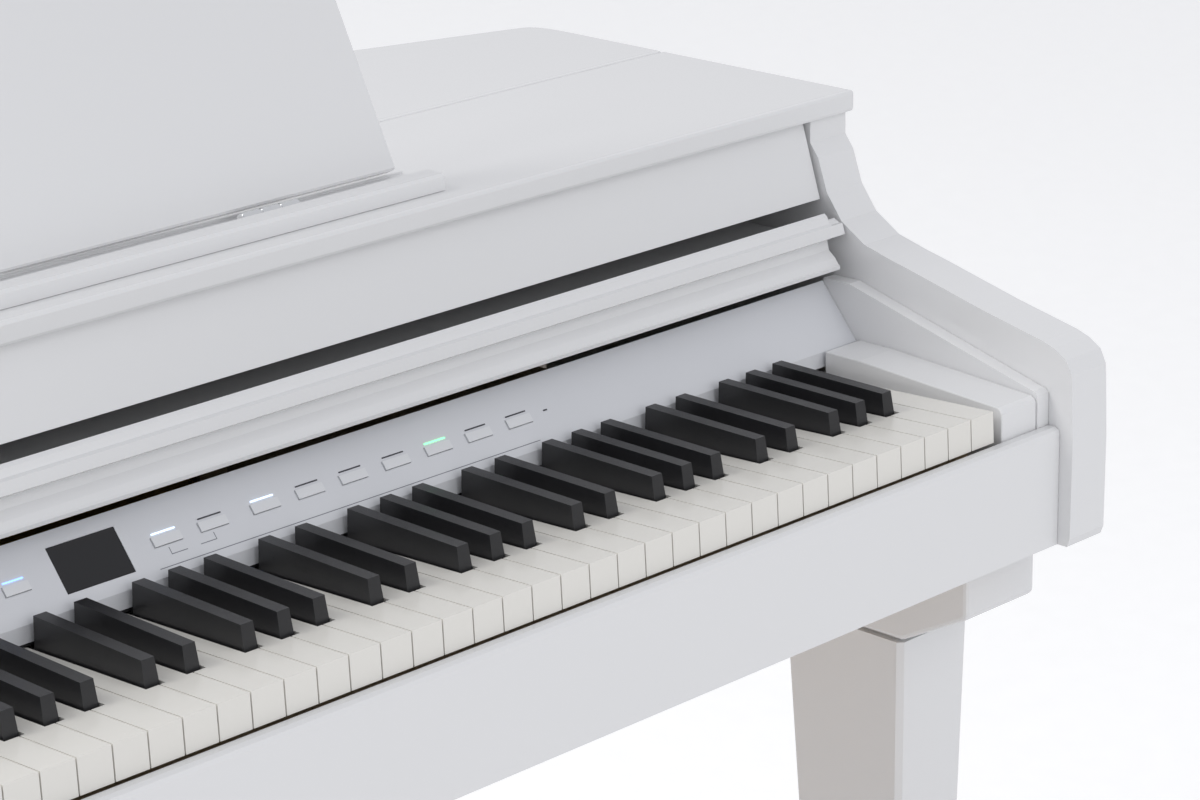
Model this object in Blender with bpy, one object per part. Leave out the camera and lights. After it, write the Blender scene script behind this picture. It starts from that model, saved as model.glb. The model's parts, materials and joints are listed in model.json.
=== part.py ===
"""Digital baby grand piano, built as an assembly of separate pieces.

Lengths are in millimetres. X runs to the treble end from the middle of the keyboard, Y runs
back from the front edge of the white keys, and Z runs up from the top of the white keys.
place() turns them to metres and moves the origin to the floor under the middle of the piano.
"""
import math

import bmesh
import bpy
from mathutils import Matrix, Vector

# Overall size
KEY_HEIGHT = 739.0        # top of the white keys above the floor
CASE_FRONT = -22.7        # front of the arms
CASE_REAR = 918.7         # rear edge of the lid
ORIGIN_Y = (CASE_FRONT + CASE_REAR) / 2
LID_HALF = 708.0
OVERHANG = 4.0            # lid past the case, all round
SEAT = 0.3                # gap between two pieces that rest on each other
CASE_BOTTOM = -106.0
BOARD_TOP = -88.0
LID_UNDER = 151.0
LID_TOP = 166.3
LID_JOINT = 391.0

# Arms
ARM_OUTER = LID_HALF - OVERHANG
ARM_INNER = 667.0
ARM_REAR = 480.0
ARM_FRONT_EDGE = [
    (211.0, 0.0), (211.0, 135.0), (203.7, 125.5), (195.5, 102.0), (182.0, 84.0), (161.0, 71.0),
    (136.0, 64.5), (118.0, 60.5), (54.0, 44.9), (3.9, 34.3), (-6.0, 30.9), (-15.8, 24.9),
    (-20.5, 15.5), (-21.2, 4.0), (CASE_FRONT, -35.0), (-22.3, -100.0), (-20.0, CASE_BOTTOM)]
TRACK_INNER = 656.0
TRACK_FRONT = 200.0
TRACK_Z = (48.0, 57.0)

# Keys
KEY_PITCH = 23.5
WHITE_KEYS = 52
KEYBOARD_HALF = KEY_PITCH * WHITE_KEYS / 2
KEY_GAP = 1.0
KEY_SLOPE = 0.05
KEY_FRONT_HEIGHT = 21.5
KEY_LEAN = 1.0
BLACK_FRONT = 50.0
SLOT_HALF = 6.8
BLACK_HALF = 5.6
BLACK_TOP_HALF = 4.5
BLACK_TOP = 12.0
BLACK_REAR = 152.0
BLACK_OFFSET = {1: 3.0, 3: -2.5, 4: 2.5, 6: -3.0, 0: 0.0}
WHITE_AXIS = (232.0, -27.0)
BLACK_AXIS = (262.0, -13.0)
WHITE_RAIL_RADIUS = 6.0
BLACK_RAIL_RADIUS = 5.0
WHITE_REAR = 240.0
LEVER_Z = (-16.0, -9.5)
LEVER_HALF = 4.0
OCTAVE_ENDS = [9, 16, 23, 30, 37, 52]

# Control panel, set out by the distance down its slope and the height above it
PANEL_HALF = 654.7
PANEL_ANGLE = math.radians(50)
PANEL_TOP = (188.4, 42.7)
PANEL_SLOPE_LENGTH = 48.8
PANEL_THICK = 3.0
PANEL_BOTTOM = (155.9, -5.0)
BUTTON_WIDTH = 20.8
BUTTON_SLOPE = (24.0, 30.0)
BUTTON_GAP = 0.3
BUTTON_RISE = 1.2
FUNCTION_BUTTON_LEFT = [46.9, 81.7, 122.1, 157.3, 192.2, 227.6, 262.9, 297.6, 332.9]
VALUE_BUTTON_LEFT = {"button_minus": -94.4, "button_plus": -59.4}
VALUE_BUTTON_WIDTH = 17.5
POWER_LEFT = -570.0
DISPLAY_X = (-21.0, 27.5)
DISPLAY_SLOPE = (9.9, 39.5)
VOLUME_X = -500.0
VOLUME_RADIUS = 9.0

# Fall cover
COVER_HALF = 655.0 - 0.6
COVER_LIP_HALF = 665.0
COVER_AXIS = (370.0, 66.0)
COVER_RADIUS = 6.0

# Music desk
DESK_HALF = 335.0
DESK_FRONT = 224.4
BOARD_HALF = 324.0
BOARD_LEAN = math.radians(26.8)
BOARD_FOOT = (257.5, 177.0)
BOARD_LENGTH = 250.0
BOARD_THICK = 10.0
STRUT_AXIS = (348.2, 175.0)
STRUT_ANGLE = math.radians(93.8)
STRUT_LENGTH = 130.0
STRUT_HALF_THICK = 4.0

# Lid prop
PROP_AXIS = (300.0, -70.0)
PROP_Y = 440.0
PROP_LENGTH = 700.0

# Legs and pedals
LEG_X = 663.0
BRACKET_HALF = 37.0
BRACKET_PROFILE = [(32.5, CASE_BOTTOM - SEAT), (32.5, -161.5), (90.0, -192.0), (205.0, -192.0),
                   (205.0, CASE_BOTTOM - SEAT)]
LEG_TOP = -194.5
LEG_Y = (90.0, 200.0)
REAR_LEG = (-250.0, 760.0)
PEDAL_PITCH = 62.0
PEDAL_AXIS = (222.0, -688.0)


def place(x, y, z):
    return Vector((x, y - ORIGIN_Y, z + KEY_HEIGHT)) / 1000


def material(name, colour, roughness, metallic=0.0):
    mat = bpy.data.materials.new(name)
    mat.use_nodes = True
    shader = mat.node_tree.nodes["Principled BSDF"]
    shader.inputs["Base Color"].default_value = (*colour, 1)
    shader.inputs["Roughness"].default_value = roughness
    shader.inputs["Metallic"].default_value = metallic
    return mat


COLOURS = {
    "case": ((0.86, 0.86, 0.85), 0.22, 0.0), "panel": ((0.72, 0.73, 0.76), 0.45, 0.0),
    "white_key": ((0.86, 0.84, 0.77), 0.3, 0.0), "black_key": ((0.03, 0.03, 0.035), 0.4, 0.0),
    "button": ((0.75, 0.76, 0.78), 0.5, 0.0), "glass": ((0.01, 0.01, 0.012), 0.08, 0.0),
    "brass": ((0.78, 0.60, 0.30), 0.25, 1.0), "steel": ((0.6, 0.6, 0.62), 0.3, 1.0),
    "timber": ((0.55, 0.43, 0.30), 0.6, 0.0), "dark": ((0.05, 0.05, 0.055), 0.6, 0.0),
    "board": ((0.05, 0.20, 0.09), 0.5, 0.0)}


def finish(name, bm, colour, smooth=False):
    """Turn a bmesh into the scene object of one sub-part."""
    bmesh.ops.recalc_face_normals(bm, faces=bm.faces)
    mesh = bpy.data.meshes.new(name)
    bm.to_mesh(mesh)
    bm.free()
    obj = bpy.data.objects.new(name, mesh)
    bpy.context.collection.objects.link(obj)
    mesh.materials.append(material(name, *COLOURS[colour]))
    if smooth:
        mesh.shade_smooth()
        mesh.set_sharp_from_angle(angle=math.radians(35))
    return obj


def add_prism(bm, near, far):
    """Add a closed prism between two matching outlines of points."""
    low = [bm.verts.new(place(*p)) for p in near]
    high = [bm.verts.new(place(*p)) for p in far]
    bm.faces.new(low)
    bm.faces.new(list(reversed(high)))
    for i in range(len(low)):
        j = (i + 1) % len(low)
        bm.faces.new((low[i], high[i], high[j], low[j]))


def add_x(bm, profile, x0, x1):
    add_prism(bm, [(x0, y, z) for y, z in profile], [(x1, y, z) for y, z in profile])


def add_z(bm, outline, z0, z1):
    add_prism(bm, [(x, y, z0) for x, y in outline], [(x, y, z1) for x, y in outline])


def add_box(bm, x, y, z):
    add_z(bm, [(x[0], y[0]), (x[1], y[0]), (x[1], y[1]), (x[0], y[1])], z[0], z[1])


def prism_x(name, profile, x0, x1, colour):
    bm = bmesh.new()
    add_x(bm, profile, x0, x1)
    return finish(name, bm, colour)


def bevel(obj, width, segments=2):
    mod = obj.modifiers.new("eased edges", "BEVEL")
    mod.width = width / 1000
    mod.segments = segments
    mod.limit_method = "ANGLE"
    mod.angle_limit = math.radians(40)


def combine(obj, bm, operation):
    """Join the shape in bm to obj, or cut it out of obj, and keep one closed body."""
    bmesh.ops.recalc_face_normals(bm, faces=bm.faces)
    mesh = bpy.data.meshes.new(obj.name + "_tool")
    bm.to_mesh(mesh)
    bm.free()
    tool = bpy.data.objects.new(obj.name + "_tool", mesh)
    bpy.context.collection.objects.link(tool)
    tool.hide_render = True
    tool.display_type = "WIRE"
    mod = obj.modifiers.new(operation.lower(), "BOOLEAN")
    mod.operation = operation
    mod.object = tool
    return tool


def arc(centre, radius, start, end, steps):
    angles = [math.radians(start + (end - start) * i / steps) for i in range(steps + 1)]
    return [(centre[0] + radius * math.cos(a), centre[1] + radius * math.sin(a)) for a in angles]


def bezier(points, steps):
    p0, p1, p2, p3 = [Vector(p) for p in points]
    out = []
    for i in range(1, steps + 1):
        t = i / steps
        u = 1 - t
        out.append(tuple(u**3 * p0 + 3 * u * u * t * p1 + 3 * u * t * t * p2 + t**3 * p3))
    return out


def lid_path(front):
    """Plan of the lid's edge, from the treble side round the tail to the bass side."""
    path = [(LID_HALF, front), (LID_HALF, 485.0)]
    path += bezier([path[-1], (LID_HALF, 508), (706, 524), (693.6, 528.4)], 5)
    path += bezier([path[-1], (582, 563), (450, 596), (360, 640)], 6)
    path += bezier([path[-1], (200, 718), (60, CASE_REAR), (-230, CASE_REAR)], 10)
    path += bezier([path[-1], (-260, CASE_REAR), (-500, CASE_REAR), (-560, CASE_REAR)], 1)
    path += bezier([path[-1], (-660, CASE_REAR), (-LID_HALF, 870), (-LID_HALF, 790)], 7)
    return path + [(-LID_HALF, front)]


def inset(path, distance):
    """Move an open path inwards, with the ends kept at their own Y."""
    out = []
    for i, point in enumerate(path):
        before = Vector(path[max(i - 1, 0)])
        after = Vector(path[min(i + 1, len(path) - 1)])
        a = (Vector(point) - before) if i else (after - Vector(point))
        b = (after - Vector(point)) if i < len(path) - 1 else a
        normal_a = Vector((-a.y, a.x)).normalized()
        normal_b = Vector((-b.y, b.x)).normalized()
        normal = (normal_a + normal_b).normalized()
        shift = distance / max(normal.dot(normal_a), 0.5)
        moved = Vector(point) + normal * shift
        folded = out and (moved - Vector(out[-1])).dot(a) <= 0
        if not folded:
            out.append(tuple(moved))
    return out


def on_panel(slope, height):
    """Point (y, z) at a distance down the panel's slope and a height above its face."""
    y = PANEL_TOP[0] - slope * math.cos(PANEL_ANGLE) - height * math.sin(PANEL_ANGLE)
    z = PANEL_TOP[1] - slope * math.sin(PANEL_ANGLE) + height * math.cos(PANEL_ANGLE)
    return (y, z)


def panel_block(bm, x0, x1, slope, height):
    corners = [(slope[0], height[0]), (slope[1], height[0]),
               (slope[1], height[1]), (slope[0], height[1])]
    add_x(bm, [on_panel(s, h) for s, h in corners], x0, x1)


def build_case():
    """Bottom board, arms, bent rim and the trim between the arms."""
    inner = inset(lid_path(ARM_REAR + 0.3), OVERHANG + 24.0 + SEAT)
    edge = ARM_INNER - SEAT
    outline = [(edge, 8.3)] + [(min(max(x, -edge), edge), y) for x, y in inner] + [(-edge, 8.3)]
    bm = bmesh.new()
    add_z(bm, outline, CASE_BOTTOM, BOARD_TOP)
    board = finish("bottom_board", bm, "timber")
    ears = bmesh.new()
    for front in (PROP_Y - 10.0, PROP_Y + 6.5):
        add_box(ears, (PROP_AXIS[0] - 12, PROP_AXIS[0] + 12), (front, front + 3.5),
                (BOARD_TOP - 4, PROP_AXIS[1] + 9))
    combine(board, ears, "UNION")

    for name, side in (("arm_left", -1), ("arm_right", 1)):
        top = LID_UNDER - SEAT
        profile = [(211.0, top)] + ARM_FRONT_EDGE[1:] + [(ARM_REAR, CASE_BOTTOM), (ARM_REAR, top)]
        arm = prism_x(name, profile, side * ARM_INNER, side * ARM_OUTER, "case")
        track = bmesh.new()
        add_box(track, sorted((side * TRACK_INNER, side * (ARM_INNER + 3))),
                (TRACK_FRONT, ARM_REAR - 10), TRACK_Z)
        combine(arm, track, "UNION")

    outer = inset(lid_path(ARM_REAR + 0.3), OVERHANG)
    inner = inset(lid_path(ARM_REAR + 0.3), OVERHANG + 24.0)
    bm = bmesh.new()
    add_z(bm, outer + list(reversed(inner)), CASE_BOTTOM, LID_UNDER - SEAT)
    finish("bent_rim", bm, "case")

    slip = [(-12.0, -27.0), (-11.0, -24.2), (-8.0, -22.8), (-2.6, -22.8), (-2.6, -50.0),
            (8.0, -50.0), (8.0, CASE_BOTTOM), (-12.0, CASE_BOTTOM)]
    prism_x("key_slip", slip, SEAT - ARM_INNER, ARM_INNER - SEAT, "case")
    fascia = [(199.8, 97.4), (216.5, LID_UNDER - SEAT), (226.5, LID_UNDER - SEAT), (209.8, 97.4)]
    prism_x("fascia", fascia, -664.5, 664.5, "case")


def build_key_surround():
    """Cheek plates, end blocks and the frame that carries the keys."""
    foot = BOARD_TOP + SEAT
    cheek = [(188.0, 44.5), (164.4, 44.9), (6.1, 3.6), (1.0, 2.6), (-2.0, 0.0), (-2.2, -49.0),
             (9.0, -49.0), (9.0, foot), (188.0, foot)]
    block = [(0.4, -1.6), (3.0, -0.2), (123.0, 6.5), (154.0, 6.5), (154.0, foot), (9.0, foot),
             (9.0, -49.0), (-1.6, -49.0), (-1.1, -4.0)]
    for name, side in (("left", -1), ("right", 1)):
        prism_x("cheek_" + name, cheek, side * (PANEL_HALF + SEAT), side * (ARM_INNER - SEAT),
                "case")
        end = prism_x("key_block_" + name, block, side * 618.5, side * PANEL_HALF, "case")
        bevel(end, 0.6, 1)
    wy, wz = WHITE_AXIS
    by, bz = BLACK_AXIS
    white_seat = wz - WHITE_RAIL_RADIUS - SEAT
    black_seat = bz - BLACK_RAIL_RADIUS - SEAT
    frame = [(14, foot), (300, foot), (300, -72), (by + 6, -72), (by + 6, black_seat),
             (by - 6, black_seat), (by - 6, -72), (wy + 8, -72), (wy + 8, white_seat),
             (wy - 8, white_seat), (wy - 8, -72), (38, -72), (38, -32), (22, -32), (22, -72),
             (14, -72)]
    prism_x("key_frame", frame, -612, 612, "timber")


def key_left(index):
    """X of the left side of a white key's pitch, counted from 1."""
    return -KEYBOARD_HALF + (index - 1) * KEY_PITCH


def has_black(boundary):
    return 1 <= boundary < WHITE_KEYS and boundary % 7 in BLACK_OFFSET


def black_centre(boundary):
    return key_left(boundary + 1) + BLACK_OFFSET[boundary % 7]


def add_white_key(bm, index):
    left = key_left(index) + KEY_GAP / 2
    right = key_left(index + 1) - KEY_GAP / 2
    rear_left = black_centre(index - 1) + SLOT_HALF if has_black(index - 1) else left
    rear_right = black_centre(index) - SLOT_HALF if has_black(index) else right
    slot = BLACK_FRONT - 1.0
    plan = [(left, 0.0), (right, 0.0), (right, slot)]
    plan += [(rear_right, slot)] if rear_right < right else []
    plan += [(rear_right, WHITE_REAR), (rear_left, WHITE_REAR)]
    plan += [(rear_left, slot)] if rear_left > left else []
    plan += [(left, slot)]
    low = [(x, y - (KEY_LEAN if y == 0 else 0), -KEY_FRONT_HEIGHT) for x, y in plan]
    add_prism(bm, low, [(x, y, -KEY_SLOPE * y) for x, y in plan])


def add_black_key(bm, boundary):
    x = black_centre(boundary)
    low = [(x - BLACK_HALF, BLACK_FRONT), (x + BLACK_HALF, BLACK_FRONT),
           (x + BLACK_HALF, BLACK_REAR), (x - BLACK_HALF, BLACK_REAR)]
    front = BLACK_FRONT + 5.0
    high = [(x - BLACK_TOP_HALF, front), (x + BLACK_TOP_HALF, front),
            (x + BLACK_TOP_HALF, BLACK_REAR), (x - BLACK_TOP_HALF, BLACK_REAR)]
    add_prism(bm, [(a, b, LEVER_Z[0]) for a, b in low], [(a, b, BLACK_TOP) for a, b in high])


def build_keys():
    """Six groups of white and of black keys, each on its own rail at the back."""
    first = 1
    wy, wz = WHITE_AXIS
    by, bz = BLACK_AXIS
    for number, last in enumerate(OCTAVE_ENDS, start=1):
        left = key_left(first) + KEY_GAP / 2
        right = key_left(last + 1) - KEY_GAP / 2
        rail = arc((wy, wz), WHITE_RAIL_RADIUS, 180, 360, 6)
        rail += [(wy + WHITE_RAIL_RADIUS, -19.0), (wy - WHITE_RAIL_RADIUS, -19.0)]
        white = prism_x("white_keys_%d" % number, rail, left, right, "white_key")
        keys = bmesh.new()
        for index in range(first, last + 1):
            add_white_key(keys, index)
        combine(white, keys, "UNION")

        boundaries = [j for j in range(first, last + 1) if has_black(j)]
        rail = arc((by, bz), BLACK_RAIL_RADIUS, 0, 330, 11)
        start = black_centre(boundaries[0]) - BLACK_HALF
        end = black_centre(boundaries[-1]) + BLACK_HALF
        black = prism_x("black_keys_%d" % number, rail, start, end, "black_key")
        levers = bmesh.new()
        for j in boundaries:
            x = black_centre(j)
            add_box(levers, (x - LEVER_HALF, x + LEVER_HALF), (BLACK_REAR - 4, by), LEVER_Z)
        combine(black, levers, "UNION")
        caps = bmesh.new()
        for j in boundaries:
            add_black_key(caps, j)
        combine(black, caps, "UNION")
        first = last + 1


def build_panel():
    """Sloping control panel with its window, buttons and volume knob."""
    depth = PANEL_THICK
    bend = on_panel(PANEL_SLOPE_LENGTH, 0)
    inner_bend = on_panel(PANEL_SLOPE_LENGTH - 1.4, -depth)
    profile = [on_panel(0, 0), bend, PANEL_BOTTOM, (PANEL_BOTTOM[0] + depth + 0.5, PANEL_BOTTOM[1]),
               inner_bend, on_panel(0, -depth)]
    panel = prism_x("control_panel", profile, -PANEL_HALF, PANEL_HALF, "panel")
    buttons = {"button_%d" % (i + 1): (x, x + BUTTON_WIDTH)
               for i, x in enumerate(FUNCTION_BUTTON_LEFT)}
    for name, x in VALUE_BUTTON_LEFT.items():
        buttons[name] = (x, x + VALUE_BUTTON_WIDTH)
    buttons["button_power"] = (POWER_LEFT, POWER_LEFT + BUTTON_WIDTH)
    holes = bmesh.new()
    for name, (x0, x1) in buttons.items():
        gap = BUTTON_GAP
        panel_block(holes, x0 - gap, x1 + gap, (BUTTON_SLOPE[0] - gap, BUTTON_SLOPE[1] + gap), (-6, 6))
        bm = bmesh.new()
        panel_block(bm, x0, x1, BUTTON_SLOPE, (-5.0, BUTTON_RISE))
        finish(name, bm, "button")
    panel_block(holes, DISPLAY_X[0] - SEAT, DISPLAY_X[1] + SEAT,
                (DISPLAY_SLOPE[0] - SEAT, DISPLAY_SLOPE[1] + SEAT), (-6, 6))
    combine(panel, holes, "DIFFERENCE")
    bm = bmesh.new()
    panel_block(bm, *DISPLAY_X, DISPLAY_SLOPE, (-depth, 0.0))
    finish("display_window", bm, "glass")

    knob = bmesh.new()
    steps = 28
    rings = []
    for radius, height in ((VOLUME_RADIUS, SEAT), (VOLUME_RADIUS, 10.0), (VOLUME_RADIUS - 1.5, 11.5)):
        ring = []
        for i in range(steps):
            angle = 2 * math.pi * i / steps
            y, z = on_panel(26.0 + radius * math.sin(angle), height)
            ring.append(knob.verts.new(place(VOLUME_X + radius * math.cos(angle), y, z)))
        rings.append(ring)
    knob.faces.new(rings[0])
    knob.faces.new(rings[-1])
    for low, high in zip(rings, rings[1:]):
        for i in range(steps):
            j = (i + 1) % steps
            knob.faces.new((low[i], low[j], high[j], high[i]))
    finish("volume_knob", knob, "button", smooth=True)


def build_fall_cover():
    """Sliding cover with a moulded front rail, and the carriage that it hinges on."""
    rail = [(189.6, 87.0), (189.0, 90.2), (186.6, 91.4), (184.0, 89.5), (182.2, 84.6), (179.4, 83.7),
            (176.8, 76.3), (184.0, 72.5), (182.5, 66.0), (176.7, 61.5), (173.6, 57.4), (172.1, 56.5),
            (172.1, 54.0), (189.6, 54.0)]
    axis_y, axis_z = COVER_AXIS
    under = axis_z - COVER_RADIUS
    over = axis_z + COVER_RADIUS
    board = [(189.6, under)] + arc(COVER_AXIS, COVER_RADIUS, -90, 90, 8) + [(189.6, over)]
    profile = rail + board
    cover = prism_x("fall_cover", profile, -COVER_HALF, COVER_HALF, "case")
    lips = bmesh.new()
    for side in (-1, 1):
        ends = sorted((side * (COVER_HALF - 6), side * COVER_LIP_HALF))
        add_x(lips, [(187.0, 86.0), (182.2, 83.6), (179.4, 83.7), (176.8, 76.3), (187.0, 72.5)], *ends)
    combine(cover, lips, "UNION")
    front = axis_y + COVER_RADIUS + 0.4
    carriage = bmesh.new()
    half = ARM_INNER - 1.0
    add_box(carriage, (-half, half), (front, front + 20.0), (TRACK_Z[1] + SEAT, 75.0))
    bevel(finish("fall_carriage", carriage, "timber"), 1.0, 1)


def build_lid():
    """Front section, which stays shut, and the main lid hinged on the bass side."""
    bm = bmesh.new()
    add_box(bm, (-LID_HALF, LID_HALF), (206.0, LID_JOINT), (LID_UNDER, LID_TOP))
    bevel(finish("lid_front", bm, "case"), 2.5, 2)
    bm = bmesh.new()
    add_z(bm, lid_path(LID_JOINT + 0.8), LID_UNDER, LID_TOP)
    bevel(finish("lid_main", bm, "case"), 2.5, 2)
    bm = bmesh.new()
    x, z = PROP_AXIS
    tip = x - PROP_LENGTH
    bar = arc((x, z), 6.0, -90, 90, 6) + arc((tip + 4, z), 4.0, 90, 270, 6)
    near = [(a, PROP_Y - 4, b) for a, b in bar]
    add_prism(bm, near, [(a, PROP_Y + 4, b) for a, _, b in near])
    prop = finish("lid_prop", bm, "brass")
    bm = bmesh.new()
    knuckle = arc((x, z), 8.0, 0, 337.5, 15)
    near = [(a, PROP_Y - 6.2, b) for a, b in knuckle]
    add_prism(bm, near, [(a, PROP_Y + 6.2, b) for a, _, b in near])
    combine(prop, bm, "UNION")


def build_desk():
    """Music desk: a base on the front lid, a tilting board and the strut behind it."""
    base_z = LID_TOP + SEAT
    plate_z = STRUT_AXIS[1] - STRUT_HALF_THICK - 0.4
    profile = [(DESK_FRONT, base_z), (360.0, base_z), (360.0, plate_z), (268.0, plate_z),
               (268.0, 171.9), (264.5, 171.9), (264.5, plate_z), (245.0, plate_z),
               (243.5, plate_z - 0.6), (242.0, plate_z), (242.0, 176.5), (240.5, 177.5),
               (DESK_FRONT + 2.0, 177.5), (DESK_FRONT, 175.5)]
    base = prism_x("desk_base", profile, -DESK_HALF, DESK_HALF, "case")
    hinges = bmesh.new()
    for side in (-1, 1):
        ends = sorted((side * 189.0, side * 235.0))
        add_x(hinges, arc((250.5, 173.0), 3.4, 0, 330, 11), *ends)
    combine(base, hinges, "UNION")

    def along(distance, back):
        y = BOARD_FOOT[0] + distance * math.sin(BOARD_LEAN) + back * math.cos(BOARD_LEAN)
        z = BOARD_FOOT[1] + distance * math.cos(BOARD_LEAN) - back * math.sin(BOARD_LEAN)
        return (y, z)

    board = [along(0, 0), along(0, BOARD_THICK), along(BOARD_LENGTH, BOARD_THICK), along(BOARD_LENGTH, 0)]
    bevel(prism_x("desk_board", board, -BOARD_HALF, BOARD_HALF, "case"), 1.2, 1)
    y, z = STRUT_AXIS
    turn = math.degrees(STRUT_ANGLE)
    tip = (y + (STRUT_LENGTH - 4) * math.cos(STRUT_ANGLE), z + (STRUT_LENGTH - 4) * math.sin(STRUT_ANGLE))
    strut = arc((y, z), STRUT_HALF_THICK, turn + 90, turn + 270, 6)
    strut += arc(tip, STRUT_HALF_THICK, turn - 90, turn + 90, 6)
    prism_x("desk_strut", strut, -60.0, 60.0, "case")


def section(centre, half, z, corner):
    """Ring of a leg: a rectangle with cut corners."""
    (cx, cy), (hx, hy) = centre, half
    pts = []
    for sx, sy in ((1, -1), (1, 1), (-1, 1), (-1, -1)):
        a = (cx + sx * hx, cy + sy * (hy - corner))
        b = (cx + sx * (hx - corner), cy + sy * hy)
        pts += [b, a] if sx * sy < 0 else [a, b]
    return [(x, y, z) for x, y in pts]


def tapered_leg(name, x, y0, y1, top):
    """Leg with a recessed neck, tapering to its glide on the floor."""
    middle, depth = (y0 + y1) / 2, (y1 - y0) / 2
    foot_middle = y0 + 11 + 33
    rings = [((x, middle), (31, depth - 6), top), ((x, middle), (31, depth - 6), top - 2.2),
             ((x, middle), (BRACKET_HALF, depth), top - 2.2), ((x, foot_middle), (27, 33), -733.0),
             ((x, foot_middle), (20, 26), -733.0), ((x, foot_middle), (20, 26), -KEY_HEIGHT)]
    bm = bmesh.new()
    loops = [[bm.verts.new(place(*p)) for p in section(c, h, z, 4.0)] for c, h, z in rings]
    bm.faces.new(loops[0])
    bm.faces.new(loops[-1])
    for low, high in zip(loops, loops[1:]):
        for i in range(8):
            j = (i + 1) % 8
            bm.faces.new((low[i], low[j], high[j], high[i]))
    finish(name, bm, "case")


def build_legs():
    for name, side in (("left", -1), ("right", 1)):
        x = side * LEG_X
        bracket = prism_x("bracket_" + name, BRACKET_PROFILE, x - BRACKET_HALF, x + BRACKET_HALF, "case")
        bevel(bracket, 3.0, 2)
        tapered_leg("leg_" + name, x, *LEG_Y, -192.0 - SEAT)
    tapered_leg("leg_rear", REAR_LEG[0], REAR_LEG[1], REAR_LEG[1] + 100.0, CASE_BOTTOM - SEAT)


def build_pedals():
    """Lyre with two posts and a slotted box, and three pedals hinged in its slots."""
    bm = bmesh.new()
    add_box(bm, (-115, 115), (160, 250), (-716, -646))
    lyre = finish("lyre", bm, "case")
    posts = bmesh.new()
    for side in (-1, 1):
        x = side * 62
        add_box(posts, (x - 16, x + 16), (188, 226), (-660, CASE_BOTTOM - SEAT))
    combine(lyre, posts, "UNION")
    slots = bmesh.new()
    axis_y, axis_z = PEDAL_AXIS
    for step in (-1, 0, 1):
        x = step * PEDAL_PITCH
        add_box(slots, (x - 13.5, x + 13.5), (150, 232), (-708, -676))
    combine(lyre, slots, "DIFFERENCE")
    for name, step in (("pedal_soft", -1), ("pedal_sostenuto", 0), ("pedal_damper", 1)):
        x = step * PEDAL_PITCH
        pin = prism_x(name, arc(PEDAL_AXIS, 5.0, 0, 330, 11), x - 13.2, x + 13.2, "brass")
        plan = arc((x, 84), 12.0, 180, 360, 8) + [(x + 9, axis_y), (x - 9, axis_y)]
        plate = bmesh.new()
        add_z(plate, plan, axis_z - 3, axis_z + 3)
        combine(pin, plate, "UNION")


def revolve(name, centre, profile, colour, steps=32):
    bm = bmesh.new()
    rings = []
    for radius, z in profile:
        if radius == 0:
            rings.append([bm.verts.new(place(*centre, z))])
            continue
        ring = []
        for i in range(steps):
            a = 2 * math.pi * i / steps
            point = place(centre[0] + radius * math.cos(a), centre[1] + radius * math.sin(a), z)
            ring.append(bm.verts.new(point))
        rings.append(ring)
    for low, high in zip(rings, rings[1:]):
        for i in range(steps):
            j = (i + 1) % steps
            corners = [low[i % len(low)], low[j % len(low)], high[j % len(high)], high[i % len(high)]]
            bm.faces.new(list(dict.fromkeys(corners)))
    return finish(name, bm, colour, smooth=True)


def build_inside():
    """Loudspeakers, amplifier board and the power inlet."""
    foot = BOARD_TOP + SEAT
    cone = [(0, foot), (45, foot), (45, -66), (52, -64), (74, -26), (82, -26), (82, -22),
            (72, -22), (26, -48), (0, -42)]
    for name, centre in (("speaker_left", (-380, 620)), ("speaker_right", (190, 560))):
        revolve(name, centre, cone, "dark")
    bm = bmesh.new()
    add_box(bm, (-620, -480), (340, 430), (-80.0, -78.4))
    board = finish("amplifier_board", bm, "board")
    parts = bmesh.new()
    for x in (-612, -488):
        for y in (348, 422):
            add_box(parts, (x - 3, x + 3), (y - 3, y + 3), (foot, -79.0))
    add_box(parts, (-600, -560), (360, 410), (-79.0, -50.0))
    add_box(parts, (-540, -500), (370, 400), (-79.0, -62.0))
    combine(board, parts, "UNION")
    bm = bmesh.new()
    add_box(bm, (-580, -520), (560, 596), (-136.0, CASE_BOTTOM - SEAT))
    inlet = finish("power_inlet", bm, "dark")
    socket = bmesh.new()
    add_box(socket, (-566, -534), (578, 610), (-130, -112))
    combine(inlet, socket, "DIFFERENCE")


def main():
    for obj in list(bpy.data.objects):
        bpy.data.objects.remove(obj, do_unlink=True)
    build_case()
    build_key_surround()
    build_keys()
    build_panel()
    build_fall_cover()
    build_lid()
    build_desk()
    build_legs()
    build_pedals()
    build_inside()


main()
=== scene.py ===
# %% [markdown]
# This lesson dresses a digital baby grand piano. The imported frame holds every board, key and
# pedal at its real size and place, so nothing is measured again here: each step adds a finish
# or a small trim piece, and says which body that piece moves with.

# %% Load the frame
import json
import math

import bmesh
import bpy
from mathutils import Matrix, Vector


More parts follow.
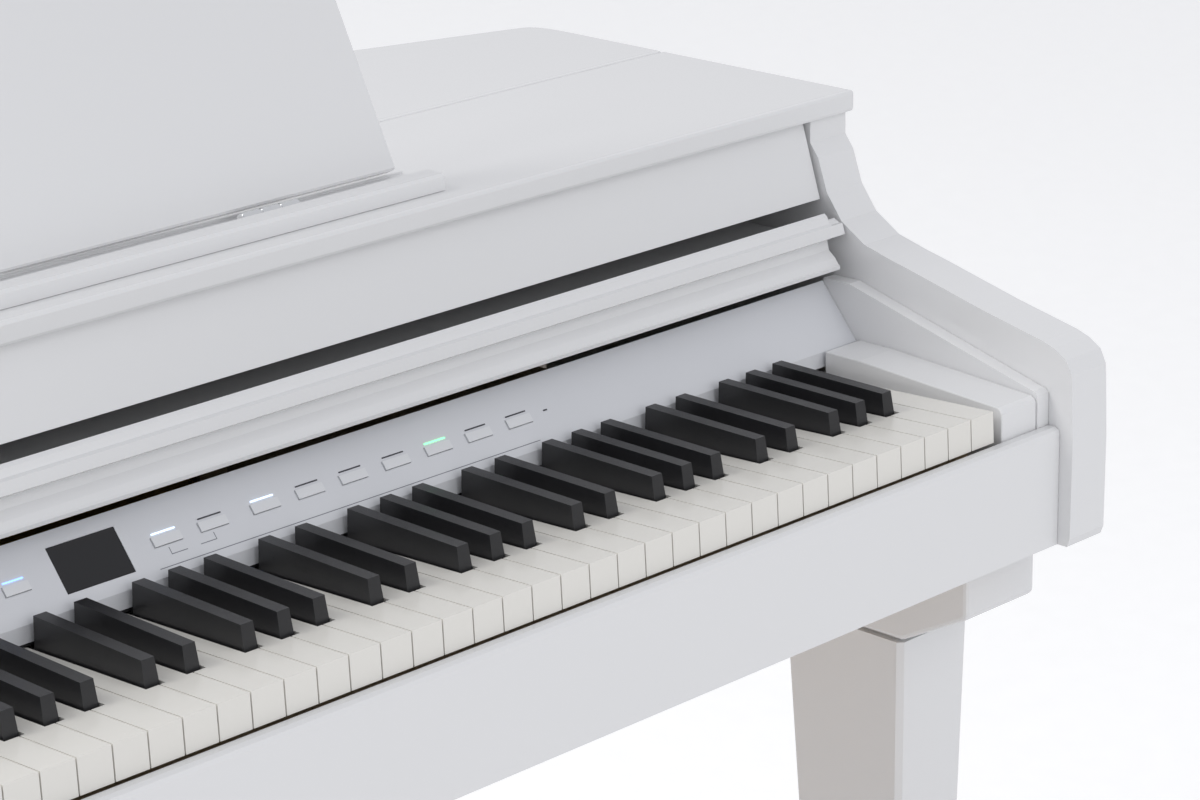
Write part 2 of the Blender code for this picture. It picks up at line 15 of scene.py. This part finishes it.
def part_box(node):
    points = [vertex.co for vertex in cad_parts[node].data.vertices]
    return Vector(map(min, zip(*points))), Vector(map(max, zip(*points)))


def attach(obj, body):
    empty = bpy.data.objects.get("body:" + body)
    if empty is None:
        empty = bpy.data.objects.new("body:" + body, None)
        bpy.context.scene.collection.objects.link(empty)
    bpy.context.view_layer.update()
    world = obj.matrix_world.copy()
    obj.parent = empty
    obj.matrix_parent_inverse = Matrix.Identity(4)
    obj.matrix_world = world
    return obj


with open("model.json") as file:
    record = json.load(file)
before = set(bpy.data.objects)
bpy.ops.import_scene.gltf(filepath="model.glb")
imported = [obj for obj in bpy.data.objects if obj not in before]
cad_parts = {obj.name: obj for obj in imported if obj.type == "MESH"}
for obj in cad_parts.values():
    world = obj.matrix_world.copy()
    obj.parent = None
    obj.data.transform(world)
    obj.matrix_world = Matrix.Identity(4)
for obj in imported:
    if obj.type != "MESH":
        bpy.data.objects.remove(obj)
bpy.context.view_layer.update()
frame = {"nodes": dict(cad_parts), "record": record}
nodes = frame["nodes"]
subparts = frame["record"]["subparts"]

# %% [markdown]
# A piano maker measures from the keyboard, and so does this scene: X from its middle, Y back
# from the front edge of the white keys and Z up from their tops, in millimetres. Trim could be
# placed in the frame's metres, but then each number would have to be worked out by hand. One
# function does it instead, and a second one follows the slope of the control panel.

# %% Keyboard coordinates
MM = 0.001
KEY_HEIGHT = 739.0
MIDDLE_Y = 448.0
KEYBOARD_HALF = 611.0
PANEL_ANGLE = math.radians(50)
PANEL_TOP_Y = 188.4
PANEL_TOP_Z = 42.7


def place(x, y, z):
    return Vector((x, y - MIDDLE_Y, z + KEY_HEIGHT)) / 1000


def on_panel(x, slope, height):
    """A point at a distance down the panel's slope and a height above its face."""
    y = PANEL_TOP_Y - slope * math.cos(PANEL_ANGLE) - height * math.sin(PANEL_ANGLE)
    z = PANEL_TOP_Z - slope * math.sin(PANEL_ANGLE) + height * math.cos(PANEL_ANGLE)
    return place(x, y, z)


print("panel top edge, in metres", on_panel(0, 0, 0))

# %% [markdown]
# Lacquer, moulded plastic, felt and metal differ in colour, gloss and fine relief, and none of
# them is perfectly even. Each could have a network of its own, but they share one here: a
# single noise varies the roughness, tints the colour a little and lifts the surface by a
# fraction of a millimetre. Stretching the noise along one axis turns it into grain.

# %% Surface finish function
COAT_ROUGHNESS = 0.12
NOISE_DETAIL = 6.0
SMOOTHEST = 0.02


def surface(name, colour, roughness, metallic=0.0, scale=60.0, relief=0.05, depth=0.0002,
            stretch=(1, 1, 1), vary=0.06, tint=0.03, coat=0.0):
    mat = bpy.data.materials.new(name)
    mat.use_nodes = True
    tree = mat.node_tree
    shader = tree.nodes["Principled BSDF"]
    shader.inputs["Metallic"].default_value = metallic
    shader.inputs["Coat Weight"].default_value = coat
    shader.inputs["Coat Roughness"].default_value = COAT_ROUGHNESS
    noise = add_noise(tree, scale, stretch)
    rough = tree.nodes.new("ShaderNodeMapRange")
    rough.inputs["To Min"].default_value = max(roughness - vary, SMOOTHEST)
    rough.inputs["To Max"].default_value = min(roughness + vary, 1.0)
    tree.links.new(noise.outputs["Fac"], rough.inputs["Value"])
    tree.links.new(rough.outputs["Result"], shader.inputs["Roughness"])
    ramp = tree.nodes.new("ShaderNodeValToRGB")
    darker, lighter = ramp.color_ramp.elements
    darker.color = (*[max(c * (1 - tint), 0) for c in colour], 1)
    lighter.color = (*[min(c * (1 + tint), 1) for c in colour], 1)
    tree.links.new(noise.outputs["Fac"], ramp.inputs["Fac"])
    tree.links.new(ramp.outputs["Color"], shader.inputs["Base Color"])
    bump = tree.nodes.new("ShaderNodeBump")
    bump.inputs["Strength"].default_value = relief
    bump.inputs["Distance"].default_value = depth
    tree.links.new(noise.outputs["Fac"], bump.inputs["Height"])
    tree.links.new(bump.outputs["Normal"], shader.inputs["Normal"])
    return mat


def add_noise(tree, scale, stretch):
    """Noise in the object's own space, stretched along the grain."""
    coordinates = tree.nodes.new("ShaderNodeTexCoord")
    mapping = tree.nodes.new("ShaderNodeMapping")
    mapping.inputs["Scale"].default_value = stretch
    noise = tree.nodes.new("ShaderNodeTexNoise")
    noise.inputs["Scale"].default_value = scale
    noise.inputs["Detail"].default_value = NOISE_DETAIL
    tree.links.new(coordinates.outputs["Object"], mapping.inputs["Vector"])
    tree.links.new(mapping.outputs["Vector"], noise.inputs["Vector"])
    return noise


print("finish function ready")

# %% [markdown]
# The case is sprayed with white lacquer and rubbed to a satin. The panel is a fine matt paint,
# a touch cooler and greyer, so that the eye finds the buttons. A coat over the lacquer gives
# the second, sharper highlight that rubbed lacquer has.

# %% Case and panel finishes
lacquer = surface("white_lacquer", (0.82, 0.82, 0.825), 0.24, scale=900, relief=0.04, tint=0.006,
                  coat=0.25)
panel_paint = surface("panel_paint", (0.74, 0.75, 0.78), 0.5, scale=2500, relief=0.12, tint=0.01)
button_plastic = surface("button_plastic", (0.80, 0.81, 0.83), 0.42, scale=2500, relief=0.1,
                         tint=0.01)
window_glass = surface("window_glass", (0.008, 0.008, 0.010), 0.06, scale=40, relief=0.0, tint=0.1,
                       vary=0.02)
print("case finishes 4")

# %% [markdown]
# White keys are a warm ivory, smoother than the case. Black keys are matter, with a fine grain
# from front to back like the ebony that they imitate: the noise is squeezed across the key.

# %% Key finishes
key_white = surface("key_white", (0.83, 0.81, 0.76), 0.24, scale=250, relief=0.01, tint=0.004,
                    coat=0.2)
key_black = surface("key_black", (0.016, 0.016, 0.018), 0.3, scale=500, relief=0.3,
                    stretch=(8, 0.5, 8), tint=0.25)
print("key finishes 2")

# %% [markdown]
# Pedals and prop are polished brass and the desk's hinges are chrome. Inside, the boards are
# bare wood, the electronics are dark plastic and green solder mask, and felt hushes the keys.

# %% Metal and inner finishes
polished_brass = surface("polished_brass", (0.80, 0.62, 0.32), 0.2, 1.0, scale=300, relief=0.03)
chrome = surface("chrome", (0.80, 0.81, 0.82), 0.12, 1.0, scale=400, relief=0.02)
bare_timber = surface("bare_timber", (0.50, 0.37, 0.24), 0.6, scale=40, relief=0.3,
                      stretch=(0.3, 6, 6), tint=0.25)
dark_plastic = surface("dark_plastic", (0.03, 0.03, 0.033), 0.5, scale=1500, relief=0.2, tint=0.1)
solder_mask = surface("solder_mask", (0.03, 0.16, 0.07), 0.35, scale=800, relief=0.1, tint=0.15)
felt = surface("black_felt", (0.018, 0.018, 0.02), 0.95, scale=3000, relief=0.8, tint=0.3)
print("finishes in all", len(bpy.data.materials))

# %% [markdown]
# Each sub-part in the record names the slot of its finish. The finishes could be put on one
# piece at a time, but going by slot means that no board is forgotten.

# %% Finish every piece of the frame
FINISH = {"cabinet": lacquer, "end_block": lacquer, "panel": panel_paint, "white_key": key_white,
          "black_key": key_black, "button": button_plastic, "display": window_glass,
          "brass": polished_brass, "timber": bare_timber, "circuit": solder_mask,
          "dark_plastic": dark_plastic}
for part in subparts:
    materials = nodes[part["node"]].data.materials
    materials.clear()
    materials.append(FINISH[part["material_slot"]])
print("finished", len(subparts), "pieces")

# %% [markdown]
# No moulded or lacquered edge is knife sharp. A narrow rounding catches the light, as sanding
# and the mould's own radius do on the real piano. A Bevel modifier does it without touching
# the mesh. The two lid sections already have their rounding, so they are passed over.

# %% Round the edges
ROUNDING_MM = {"cabinet": 1.2, "white_key": 0.7, "black_key": 1.1, "button": 0.35, "panel": 0.3,
               "brass": 0.8, "end_block": 0.8, "dark_plastic": 0.5}
ALREADY_ROUND = ("lid_main", "lid_front")
ROUNDING_STEPS = 3
SHARP_FROM = math.radians(32)
rounded = 0
for part in subparts:
    width = ROUNDING_MM.get(part["material_slot"])
    if width is None or part["node"] in ALREADY_ROUND:
        continue
    obj = nodes[part["node"]]
    mod = obj.modifiers.new("rounded edges", "BEVEL")
    mod.width = width * MM
    mod.segments = ROUNDING_STEPS
    mod.limit_method = "ANGLE"
    mod.angle_limit = SHARP_FROM
    mod.harden_normals = True
    obj.data.shade_smooth()
    rounded += 1
print("rounded", rounded, "pieces")

# %% [markdown]
# All the small trim is made one way: an outline is pushed out to a thickness, and on most pieces
# its edges are eased. It then rides on a body of the frame, so that it moves with the piece it is
# fixed to.

# %% Trim functions
def pushed_out(near, far):
    """A closed solid between two matching outlines."""
    bm = bmesh.new()
    near = [bm.verts.new(point) for point in near]
    far = [bm.verts.new(point) for point in far]
    bm.faces.new(near)
    bm.faces.new(list(reversed(far)))
    for i in range(len(near)):
        j = (i + 1) % len(near)
        bm.faces.new((near[i], far[i], far[j], near[j]))
    bmesh.ops.recalc_face_normals(bm, faces=bm.faces)
    return bm


def ease(bm, edges, width):
    bmesh.ops.bevel(bm, geom=edges, offset=width * MM, segments=2, affect="EDGES")


def fix(name, bm, mat, smooth, body="case"):
    """Make the piece, fix it to a body and give it its finish."""
    mesh = bpy.data.meshes.new(name)
    bm.to_mesh(mesh)
    bm.free()
    obj = bpy.data.objects.new(name, mesh)
    bpy.context.collection.objects.link(obj)
    mesh.materials.append(mat)
    if smooth:
        mesh.shade_smooth()
        mesh.set_sharp_from_angle(angle=math.radians(35))
    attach(obj, body)
    return obj


print("trim functions ready")

# %% [markdown]
# A narrow lamp lies in the paint just above each button. Four of them are lit in the photo.
# A lit lamp could be a real light, but a little emission in its plastic looks the same and
# casts no stray glow. The lamp stays in the panel when its button is pressed.

# %% Button lamps
LAMP_SLOPE = (21.3, 22.2)
LAMP_MARGIN = 1.5
LAMP_BASE = 0.05
LAMP_RISE = 0.5


def panel_trim(name, x, slope, height, mat, width=0.2):
    """Trim that lies on the panel, between two X, two slopes and two heights."""
    corners = [(x[0], slope[0]), (x[1], slope[0]), (x[1], slope[1]), (x[0], slope[1])]
    bm = pushed_out([on_panel(a, s, height[0]) for a, s in corners],
                    [on_panel(a, s, height[1]) for a, s in corners])
    ease(bm, list(bm.edges), width)
    return fix(name, bm, mat, smooth=False)


def lamp_finish(name, colour, strength):
    mat = surface(name, colour, 0.3, scale=900, relief=0.02)
    shader = mat.node_tree.nodes["Principled BSDF"]
    shader.inputs["Emission Color"].default_value = (*colour, 1)
    shader.inputs["Emission Strength"].default_value = strength
    return mat


lamp_off = lamp_finish("lamp_off", (0.05, 0.05, 0.06), 0.0)
lamp_blue = lamp_finish("lamp_blue", (0.25, 0.45, 1.0), 1.6)
lamp_pale = lamp_finish("lamp_pale", (0.65, 0.80, 1.0), 1.3)
lamp_green = lamp_finish("lamp_green", (0.25, 1.0, 0.45), 1.3)
LIT = {"button_plus": lamp_blue, "button_1": lamp_pale, "button_3": lamp_pale,
       "button_7": lamp_green}
for name in [n for n in nodes if n.startswith("button_")]:
    low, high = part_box(name)
    ends = (low[0] / MM + LAMP_MARGIN, high[0] / MM - LAMP_MARGIN)
    panel_trim("lamp_" + name, ends, LAMP_SLOPE, (LAMP_BASE, LAMP_RISE), LIT.get(name, lamp_off))
print("lamps lit", len(LIT))

# %% [markdown]
# A printed line runs under the buttons, a bracket joins the first two, and a pinhead lamp sits
# after the last. Print could be painted by a texture, but a film of ink a few hundredths of a
# millimetre thick stays crisp from close by.

# %% Printed lines
INK_FILM = (0.02, 0.08)
INK_EASE = 0.02
LINE_WIDTH = 0.5
BRACKET_END_SLOPE = (32.0, 36.4)
READY_LAMP_X = (365.9, 369.4)
READY_LAMP_SLOPE = (24.9, 25.9)
ink = surface("grey_ink", (0.20, 0.21, 0.24), 0.5, scale=2000, relief=0.05)
across = {"line_long": (43.6, 352.0, 43.0), "bracket_first": (55.9, 67.9, 36.4),
          "bracket_second": (77.8, 90.0, 36.3)}
for name, (left, end, slope) in across.items():
    panel_trim(name, (left, end), (slope, slope + LINE_WIDTH), INK_FILM, ink, INK_EASE)
for name, left in (("bracket_end_first", 55.9), ("bracket_end_second", 89.5)):
    panel_trim(name, (left, left + LINE_WIDTH), BRACKET_END_SLOPE, INK_FILM, ink, INK_EASE)
panel_trim("ready_lamp", READY_LAMP_X, READY_LAMP_SLOPE, (LAMP_BASE, LAMP_RISE), lamp_off)
print("printed lines", len(across) + 2)

# %% [markdown]
# A felt strip closes the gap between the panel's lower lip and the keys, so no light shows
# through. It is a plain strip with eased edges: its pile is finer than anyone can see from
# the bench, so relief in the finish gives it.

# %% Felt strip
FELT_Y = (156.4, 159.0)
FELT_Z = (-7.2, -5.0)
EDGE_EASE = 0.4
outline = [(FELT_Y[0], FELT_Z[1]), (FELT_Y[1], FELT_Z[1]),
           (FELT_Y[1], FELT_Z[0]), (FELT_Y[0], FELT_Z[0])]


def along_x(outline, x0, x1, width):
    """A bar along the keyboard, with its sharp edges eased."""
    bm = pushed_out([place(x0, y, z) for y, z in outline], [place(x1, y, z) for y, z in outline])
    ease(bm, [e for e in bm.edges if e.calc_face_angle(0) > math.radians(40)], width)
    return bm


strip = along_x(outline, -KEYBOARD_HALF, KEYBOARD_HALF, EDGE_EASE)
fix("felt_strip", strip, felt, smooth=True)
print("felt strip, mm", 2 * KEYBOARD_HALF)

# %% [markdown]
# Two chrome hinges carry the music desk. Each is a barrel of three knuckles round one pin. The
# joints between the knuckles are left as real gaps, because a painted line would vanish in
# the highlight.

# %% Desk hinges
HINGE_INNER = 189.0
HINGE_OUTER = 235.0
HINGE_CENTRE = (250.5, 173.0)
HINGE_RADIUS = 4.0
KNUCKLES = 3
KNUCKLE_GAP = 0.3
CIRCLE_STEPS = 24


def circle(centre, radius):
    angles = [2 * math.pi * i / CIRCLE_STEPS for i in range(CIRCLE_STEPS)]
    return [(centre[0] + radius * math.cos(a), centre[1] + radius * math.sin(a)) for a in angles]


knuckle_length = (HINGE_OUTER - HINGE_INNER) / KNUCKLES
for side, start in (("left", -HINGE_OUTER), ("right", HINGE_INNER)):
    for number in range(KNUCKLES):
        x0 = start + knuckle_length * number + KNUCKLE_GAP
        x1 = x0 + knuckle_length - 2 * KNUCKLE_GAP
        knuckle = along_x(circle(HINGE_CENTRE, HINGE_RADIUS), x0, x1, EDGE_EASE)
        fix("desk_hinge_%s_%d" % (side, number + 1), knuckle, chrome, smooth=True)
print("hinge knuckles", 2 * KNUCKLES)

# %% [markdown]
# A brass hinge joins each end of the main lid to the bass side. Only its barrel shows, just
# below the lid, where the lid turns. It stays with the case.

# %% Lid hinges
LID_HINGE_CENTRE = (-705.6, 148.0)
LID_HINGE_RADIUS = 2.2
LID_HINGE_LENGTH = 60
LID_HINGE_Y = (460.0, 740.0)
barrel = circle(LID_HINGE_CENTRE, LID_HINGE_RADIUS)
for number, y in enumerate(LID_HINGE_Y, start=1):
    bm = pushed_out([place(x, y, z) for x, z in barrel],
                    [place(x, y + LID_HINGE_LENGTH, z) for x, z in barrel])
    fix("lid_hinge_%d" % number, bm, polished_brass, smooth=True)
print("lid hinges", len(LID_HINGE_Y))

# %% [markdown]
# The floor is plain and pale, so nothing competes with the lacquer. Only the camera sees it a
# little brighter than it is lit: that whitens the ground behind the piano, keeps its shadow,
# and adds no light to the piano.

# %% Floor
FLOOR_HALF = 12
FLOOR_DROP = 0.0005
FLOOR_LIFT = 0.22
bm = bmesh.new()
bmesh.ops.create_grid(bm, x_segments=1, y_segments=1, size=FLOOR_HALF)
floor_mesh = bpy.data.meshes.new("floor")
bm.to_mesh(floor_mesh)
bm.free()
floor = bpy.data.objects.new("floor", floor_mesh)
bpy.context.collection.objects.link(floor)
floor_mesh.materials.append(surface("floor_paint", (0.93, 0.93, 0.93), 0.7, scale=30, relief=0.02))
floor.location.z = -FLOOR_DROP
floor_tree = floor_mesh.materials[0].node_tree
floor_shader = floor_tree.nodes["Principled BSDF"]
floor_shader.inputs["Emission Color"].default_value = (1, 1, 1, 1)
seen = floor_tree.nodes.new("ShaderNodeLightPath")
lift = floor_tree.nodes.new("ShaderNodeMath")
lift.operation = "MULTIPLY"
lift.inputs[1].default_value = FLOOR_LIFT
floor_tree.links.new(seen.outputs["Is Camera Ray"], lift.inputs[0])
floor_tree.links.new(lift.outputs["Value"], floor_shader.inputs["Emission Strength"])
print("floor, metres across", 2 * FLOOR_HALF)

# %% [markdown]
# The studio's walls give a soft, even light. The camera sees pure white behind the piano, while
# everything else sees a slightly cool and dimmer white, so the pale case keeps its shading.

# %% World
world = bpy.data.worlds.new("studio")
bpy.context.scene.world = world
world.use_nodes = True
tree = world.node_tree
tree.nodes.clear()


def background(colour, strength):
    node = tree.nodes.new("ShaderNodeBackground")
    node.inputs["Color"].default_value = (*colour, 1)
    node.inputs["Strength"].default_value = strength
    return node


output = tree.nodes.new("ShaderNodeOutputWorld")
mix = tree.nodes.new("ShaderNodeMixShader")
soft = background((0.95, 0.96, 1.0), 0.66)
pale = background((1.0, 1.0, 1.0), 1.0)
ray = tree.nodes.new("ShaderNodeLightPath")
tree.links.new(ray.outputs["Is Camera Ray"], mix.inputs["Fac"])
tree.links.new(soft.outputs["Background"], mix.inputs[1])
tree.links.new(pale.outputs["Background"], mix.inputs[2])
tree.links.new(mix.outputs["Shader"], output.inputs["Surface"])
print("world backgrounds 2")

# %% [markdown]
# One large soft lamp stands high on the left and behind, as a window would, so the fronts of
# the boards fall into a gentle shade. A weaker one in front keeps the keys readable.

# %% Lamps
def area_lamp(name, location, target, size, power, colour):
    data = bpy.data.lights.new(name, "AREA")
    data.shape = "SQUARE"
    data.size = size
    data.energy = power
    data.color = colour
    obj = bpy.data.objects.new(name, data)
    bpy.context.collection.objects.link(obj)
    obj.location = location
    obj.rotation_euler = (Vector(target) - Vector(location)).to_track_quat("-Z", "Y").to_euler()
    return obj


area_lamp("window", (-2.6, 1.6, 3.2), (0, -0.2, 0.7), 2.2, 80, (1.0, 0.99, 0.97))
area_lamp("fill", (0.8, -3.2, 2.4), (0.2, -0.3, 0.7), 2.6, 22, (0.98, 0.99, 1.0))
print("lamps", len(bpy.data.lights))

# %% [markdown]
# The camera stands left of the keyboard and above it, turned towards the treble end. Its place
# and turn could be found by eye, but the keys have a known pitch, so they were worked out from
# the corners of the white keys instead.

# %% Camera
YAW, PITCH, ROLL = 0.7827, 0.3227, -0.0181
FOCAL_PIXELS = 3618.02
IMAGE_WIDTH = 1200
SENSOR_MM = 36.0
CAMERA_AT = (-1159.11, -1413.28, 765.28)
forward = Vector((math.sin(YAW) * math.cos(PITCH), math.cos(YAW) * math.cos(PITCH),
                  -math.sin(PITCH)))
level = Vector((math.cos(YAW), -math.sin(YAW), 0))
upright = level.cross(forward)
right = math.cos(ROLL) * level + math.sin(ROLL) * upright
up = -math.sin(ROLL) * level + math.cos(ROLL) * upright
lens = bpy.data.cameras.new("camera")
lens.sensor_width = SENSOR_MM
lens.lens = SENSOR_MM * FOCAL_PIXELS / IMAGE_WIDTH
camera = bpy.data.objects.new("camera", lens)
bpy.context.collection.objects.link(camera)
turn = Matrix((right, up, -forward)).transposed().to_4x4()
camera.matrix_world = Matrix.Translation(place(*CAMERA_AT)) @ turn
bpy.context.scene.camera = camera
bpy.context.scene.view_settings.view_transform = "Standard"
print("camera at, in metres", tuple(round(v, 4) for v in camera.matrix_world.translation))
